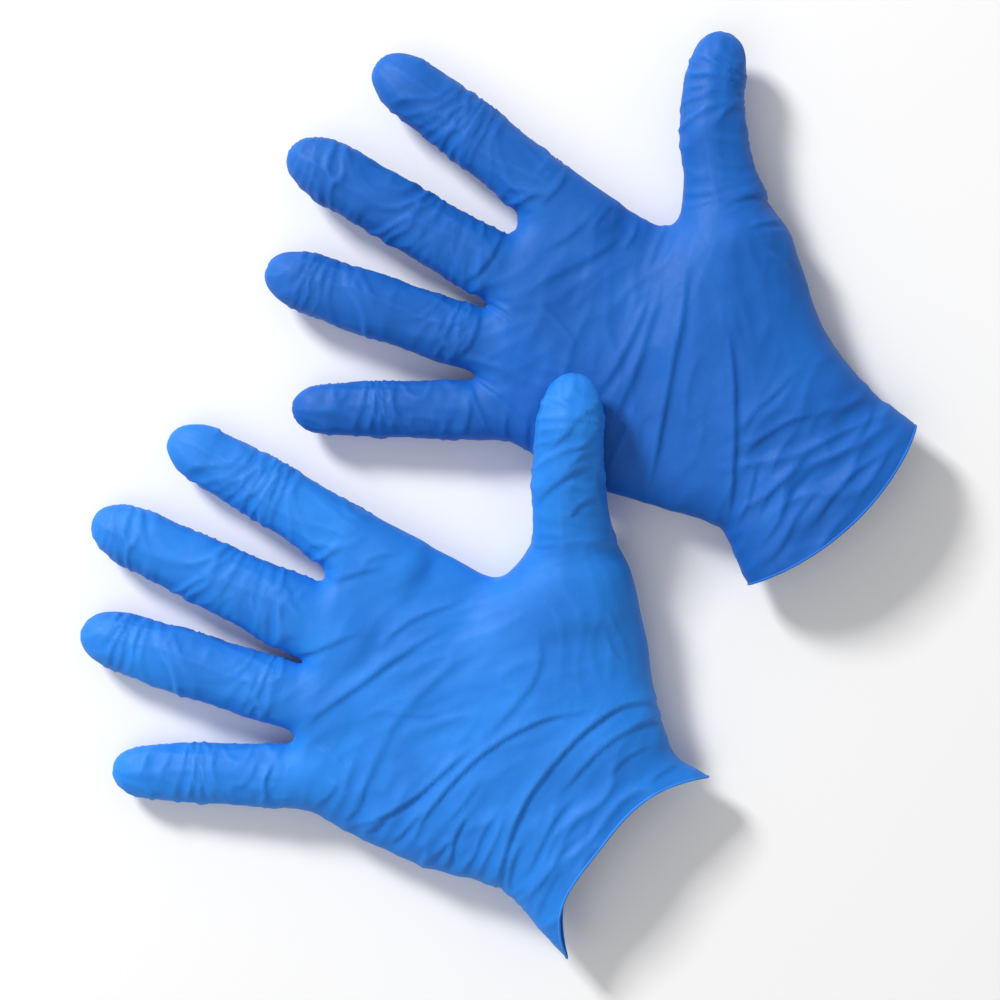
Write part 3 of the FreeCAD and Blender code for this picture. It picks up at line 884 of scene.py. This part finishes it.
class GloveSizes(bpy.types.PropertyGroup):
    """Sizes of the gloves' film."""

    film_step: bpy.props.FloatProperty(
        name="Film step", description="Spacing of the film's mesh", default=1.12 * MM, unit="LENGTH"
    )
    crease_depth: bpy.props.FloatProperty(
        name="Crease depth", description="Share of the drawn creases' height", default=1.6
    )
    slack: bpy.props.FloatProperty(
        name="Slack", description="Share of the film's extra length that buckles", default=1.0
    )
    bead_radius: bpy.props.FloatProperty(
        name="Bead radius",
        description="Radius of the rolled bead at the rim",
        default=0.5 * MM,
        unit="LENGTH",
    )
    # The two gloves are one nitrile: the left glove's brighter colour is painted light and the right
    # glove's darker colour is painted shade.
    left_lit_colour: bpy.props.StringProperty(
        name="Left colour", description="sRGB hex colour of the left glove", default="2085e6"
    )
    right_shaded_colour: bpy.props.StringProperty(
        name="Right colour", description="sRGB hex colour of the right glove", default="1268c4"
    )


class StageSizes(bpy.types.PropertyGroup):
    """Sizes of the table, the lights and the camera's place."""

    camera_height: bpy.props.FloatProperty(
        name="Camera height", description="Camera above the table", default=1.1, unit="LENGTH"
    )
    view_width: bpy.props.FloatProperty(
        name="View width", description="Width seen at the gloves' height", default=0.38, unit="LENGTH"
    )
    view_turn: bpy.props.FloatProperty(
        name="View turn",
        description="Turn of the camera about the vertical",
        default=math.radians(-57),
        unit="ROTATION",
    )
    key_power: bpy.props.FloatProperty(
        name="Key light", description="Power of the soft key light", default=65.0, unit="POWER"
    )
    floor_colour: bpy.props.StringProperty(
        name="Floor colour", description="sRGB hex colour of the table", default="fafafa"
    )


# Half the table's side and its small gap below the gloves, in metres.
TABLE_HALF = 3.0
TABLE_GAP = 0.0002
# The camera's sensor in millimetres, and the height that it looks at, in metres.
SENSOR = 36.0
SEEN_HEIGHT = 0.02

FILMS = {}


def stall_joint(side, finger, which):
    """A stall's hinge: its place and the level direction the stall runs there."""
    name = f"{side}_{finger}_{which}_bend"
    joint = next(j for j in frame["record"]["behaviour"]["joints"] if j["name"] == name)
    axis = joint["axis"]
    return np.array(joint["pos_m"]), np.array([-axis[1], axis[0], 0.0])


def glove_film(side):
    """One glove's whole film: points in metres, quads, normals, the piece of each quad."""
    if side in FILMS:
        return FILMS[side]
    sizes = bpy.context.scene.glove_sizes
    spacing = sizes.film_step / MM
    form = Form(side)
    points, quads = even_skin(form, spacing)
    net = Net(len(points), quads)
    normals = normals_of(points, quads)
    fields = stall_wrinkles(points, side, form)
    fields += patch_wrinkles(points, normals, PATCHES[side])
    uneven = 1 + SLACK_UNEVEN * noise_at(points, SLACK_GRAIN, 3)
    fields = [(way, amount * uneven * sizes.slack) for way, amount in fields]
    slack = slack_of(points, net.springs, fields)
    lift = crease_lift(points, normals, CREASES[side]) * sizes.crease_depth
    low, wide = FILM_WAVES
    lift += low[0] * noise_at(points, low[1], 1) + wide[0] * noise_at(points, wide[1], 2)
    lift += stall_ridges(points, side, form) * sizes.crease_depth
    lift += patch_ridges(points, normals, RIDGE_PATCHES[side]) * sizes.crease_depth
    film = settle(points, normals, net, slack, lift, SETTLE_ROUNDS, STIFFNESS, HOLD)
    labels = piece_labels(film[quads].mean(1), form, side)
    film_m = (film - np.array([*PLAN_MIDDLE, 0.0])) * MM
    FILMS[side] = (film_m, quads, normals_of(film, quads), labels, net)
    return FILMS[side]


def piece_labels(centres, form, side):
    """0 for the hand, then for each finger one number for its root piece and one for its tip."""
    labels = np.zeros(len(centres), int)
    nearest = np.full(len(centres), np.inf)
    row = (centres - np.array([*PLAN_MIDDLE, 0.0])) * MM
    for number, finger in enumerate(FINGERS):
        beyond = {}
        for which in ("root", "middle"):
            hinge, ahead = stall_joint(side, finger, which)
            beyond[which] = (row - hinge) @ ahead / MM
        away = np.abs(depth(centres, form.stalls[finger]))
        reach = THUMB_REACH[side] if finger == "thumb" else FINGER_REACH
        mine = (beyond["root"] > PIECE_START) & (away < reach) & (away < nearest)
        nearest[mine] = away[mine]
        labels[mine] = 1 + 2 * number + (beyond["middle"][mine] > -FOLD_CUT)
    return labels


def make_piece(name, points, quads, normals, material):
    """A smooth mesh object from some of a film's quads."""
    used = np.unique(quads)
    number = np.full(len(points), -1)
    number[used] = np.arange(len(used))
    mesh = bpy.data.meshes.new(name)
    mesh.from_pydata(points[used].tolist(), [], number[quads].tolist())
    mesh.polygons.foreach_set("use_smooth", [True] * len(quads))
    mesh.normals_split_custom_set_from_vertices(normals[used].tolist())
    mesh.materials.append(material)
    piece = bpy.data.objects.new(name, mesh)
    bpy.context.scene.collection.objects.link(piece)
    return piece


def nitrile_of(side):
    """The nitrile of one glove, made once: a brighter copy with painted light for the left glove and a
    darker copy with painted shade for the right.
    """
    name = f"Dipped_nitrile_painted_light_{side}"
    if name not in bpy.data.materials:
        sizes = bpy.context.scene.glove_sizes
        colour = sizes.left_lit_colour if side == "left" else sizes.right_shaded_colour
        nitrile(name, colour, STRETCHED_COLOUR[side], SHADED_COLOUR[side])
    return bpy.data.materials[name]


class GLOVES_OT_hand_films(bpy.types.Operator):
    """Add the hand and cuff of each glove"""

    bl_idname = "gloves.hand_films"
    bl_label = "Hands and cuffs"

    def execute(self, context):
        for side in SIDES:
            points, quads, normals, labels, _ = glove_film(side)
            piece = make_piece(
                f"{side}_hand_film",
                points,
                quads[labels == 0],
                normals,
                nitrile_of(side),
            )
            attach(piece, f"{side}_hand")
            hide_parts(f"{side}_palm", f"{side}_cuff")
        return {"FINISHED"}


class GLOVES_OT_stall_films(bpy.types.Operator):
    """Add the five stalls of each glove, each cut into a root piece and a piece beyond its middle fold
    """

    bl_idname = "gloves.stall_films"
    bl_label = "Stalls"

    def execute(self, context):
        for side in SIDES:
            points, quads, normals, labels, _ = glove_film(side)
            for number, finger in enumerate(FINGERS):
                base, tip = f"{side}_{finger}_base", f"{side}_{finger}_tip"
                bend_end, fold_start, fold_end = ROOT_BEND_END, -FOLD_REACH, FOLD_REACH
                if finger == "thumb":
                    bend_end, fold_start, fold_end = THUMB_BEND_END, THUMB_FOLD_START, THUMB_FOLD_END
                cases = (
                    ("root", 1 + 2 * number, f"{side}_hand", base, ROOT_BEND_START, bend_end),
                    ("middle", 2 + 2 * number, base, tip, fold_start, fold_end),
                )
                for which, label, near, far, start, end in cases:
                    piece = make_piece(
                        f"{side}_{finger}_{which}_film",
                        points,
                        quads[labels == label],
                        normals,
                        nitrile_of(side),
                    )
                    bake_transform(piece)
                    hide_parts(base if which == "root" else tip)
        return {"FINISHED"}


def rim_line(side):
    """The rim's points in order, in metres."""
    points, _, _, _, net = glove_film(side)
    links = {}
    for a, b in net.border:
        links.setdefault(a, []).append(b)
        links.setdefault(b, []).append(a)
    loops = []
    left = set(links)
    while left:
        start = min(left)
        loop, last = [start], None
        while True:
            here = links[loop[-1]]
            ways = [k for k in here if k != last and k in left or k == start and len(loop) > 2]
            last = loop[-1]
            if not ways or ways[0] == start:
                break
            loop.append(ways[0])
            left.discard(last)
        left -= set(loop)
        loops.append(loop)
    return points[max(loops, key=len)]


class GLOVES_OT_rim_beads(bpy.types.Operator):
    """Add the rolled bead at each cuff's rim"""

    bl_idname = "gloves.rim_beads"
    bl_label = "Rim beads"

    def execute(self, context):
        radius = context.scene.glove_sizes.bead_radius
        around = BEAD_POINTS
        for side in SIDES:
            line = rim_line(side)
            tangent = np.roll(line, -1, 0) - np.roll(line, 1, 0)
            tangent /= np.linalg.norm(tangent, axis=1)[:, None]
            along = np.append(heading_vector(RIMS[side].heading), 0.0)
            aside = np.cross(tangent, along)
            aside /= np.linalg.norm(aside, axis=1)[:, None]
            ahead = np.cross(aside, tangent)
            rings, outward = [], []
            for k in range(around):
                a = 2 * math.pi * k / around
                out = aside * math.cos(a) + ahead * math.sin(a)
                rings.append(line + out * radius)
                outward.append(out)
            count = len(line)
            points = np.concatenate(rings)
            points[:, 2] = np.maximum(points[:, 2], 0)
            quads = []
            for k in range(around):
                for i in range(count):
                    j, n = (i + 1) % count, (k + 1) % around
                    quads.append((k * count + i, k * count + j, n * count + j, n * count + i))
            quads = np.array(quads)
            normals = normals_of(points, quads)
            if (normals * np.concatenate(outward)).sum() < 0:
                quads = quads[:, ::-1]
                normals = -normals
            piece = make_piece(
                f"{side}_rim_bead", points, quads, normals, nitrile_of(side)
            )
            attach(piece, f"{side}_hand")
            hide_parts(f"{side}_cuff_bead")
        return {"FINISHED"}


class GLOVES_OT_stage(bpy.types.Operator):
    """Add the pale table, the soft lights and the camera"""

    bl_idname = "gloves.stage"
    bl_label = "Table, lights and camera"

    def execute(self, context):
        sizes = context.scene.stage_sizes
        half = TABLE_HALF
        mesh = bpy.data.meshes.new("Table")
        corners = [(-half, -half, 0), (half, -half, 0), (half, half, 0), (-half, half, 0)]
        mesh.from_pydata(corners, [], [(0, 1, 2, 3)])
        table = bpy.data.objects.new("Table", mesh)
        context.scene.collection.objects.link(table)
        table.location.z = -TABLE_GAP
        # Matt white laminate: plain and even.
        white = bpy.data.materials.new("White_laminate")
        white.use_nodes = True
        shader = white.node_tree.nodes["Principled BSDF"]
        shader.inputs["Base Color"].default_value = hex_colour(sizes.floor_colour)
        shader.inputs["Roughness"].default_value = 0.6
        mesh.materials.append(white)
        world = bpy.data.worlds.new("Soft_room")
        world.use_nodes = True
        background = world.node_tree.nodes["Background"]
        background.inputs["Color"].default_value = (1, 1, 1, 1)
        background.inputs["Strength"].default_value = 0.4
        context.scene.world = world
        context.scene.view_settings.view_transform = "Standard"
        middle = Vector((-PLAN_MIDDLE[0] * MM, -PLAN_MIDDLE[1] * MM, SEEN_HEIGHT))
        lights = (
            ("Key", (0.5, 2.1, 1.6), 0.6, sizes.key_power),
            ("Fill", (-0.9, 0.2, 1.8), 1.5, sizes.key_power * 0.1),
        )
        for name, place, size, power in lights:
            light = bpy.data.lights.new(name, "AREA")
            light.size = size
            light.energy = power
            lamp = bpy.data.objects.new(name, light)
            lamp.location = middle + Vector(place)
            lamp.rotation_euler = (-Vector(place)).to_track_quat("-Z", "Y").to_euler()
            context.scene.collection.objects.link(lamp)
        camera = bpy.data.cameras.new("Camera")
        camera.sensor_width = SENSOR
        camera.lens = SENSOR * sizes.camera_height / sizes.view_width
        eye = bpy.data.objects.new("Camera", camera)
        eye.location = middle + Vector((0, 0, sizes.camera_height))
        eye.rotation_euler = (0, 0, sizes.view_turn)
        context.scene.collection.objects.link(eye)
        context.scene.camera = eye
        return {"FINISHED"}


class GLOVES_PT_panel(bpy.types.Panel):
    """Shows the sizes, and the buttons that add the stage and the gloves' pieces"""

    bl_idname = "GLOVES_PT_panel"
    bl_label = "Nitrile gloves"
    bl_space_type = "VIEW_3D"
    bl_region_type = "UI"
    bl_category = "Gloves"

    def draw(self, context):
        for group in (context.scene.glove_sizes, context.scene.stage_sizes):
            for name in group.__annotations__:
                self.layout.prop(group, name)
        for operator in OPERATORS:
            self.layout.operator(operator.bl_idname)


OPERATORS = (GLOVES_OT_stage, GLOVES_OT_hand_films, GLOVES_OT_stall_films, GLOVES_OT_rim_beads)
CLASSES = (GloveSizes, StageSizes) + OPERATORS + (GLOVES_PT_panel,)


def register():
    for item in CLASSES:
        bpy.utils.register_class(item)
    bpy.types.Scene.glove_sizes = bpy.props.PointerProperty(type=GloveSizes)
    bpy.types.Scene.stage_sizes = bpy.props.PointerProperty(type=StageSizes)


def unregister():
    del bpy.types.Scene.stage_sizes
    del bpy.types.Scene.glove_sizes
    for item in reversed(CLASSES):
        bpy.utils.unregister_class(item)


def main():
    register()
    bpy.ops.gloves.stage()
    bpy.ops.gloves.hand_films()
    bpy.ops.gloves.stall_films()
    bpy.ops.gloves.rim_beads()


if __name__ == "__main__":
    main()
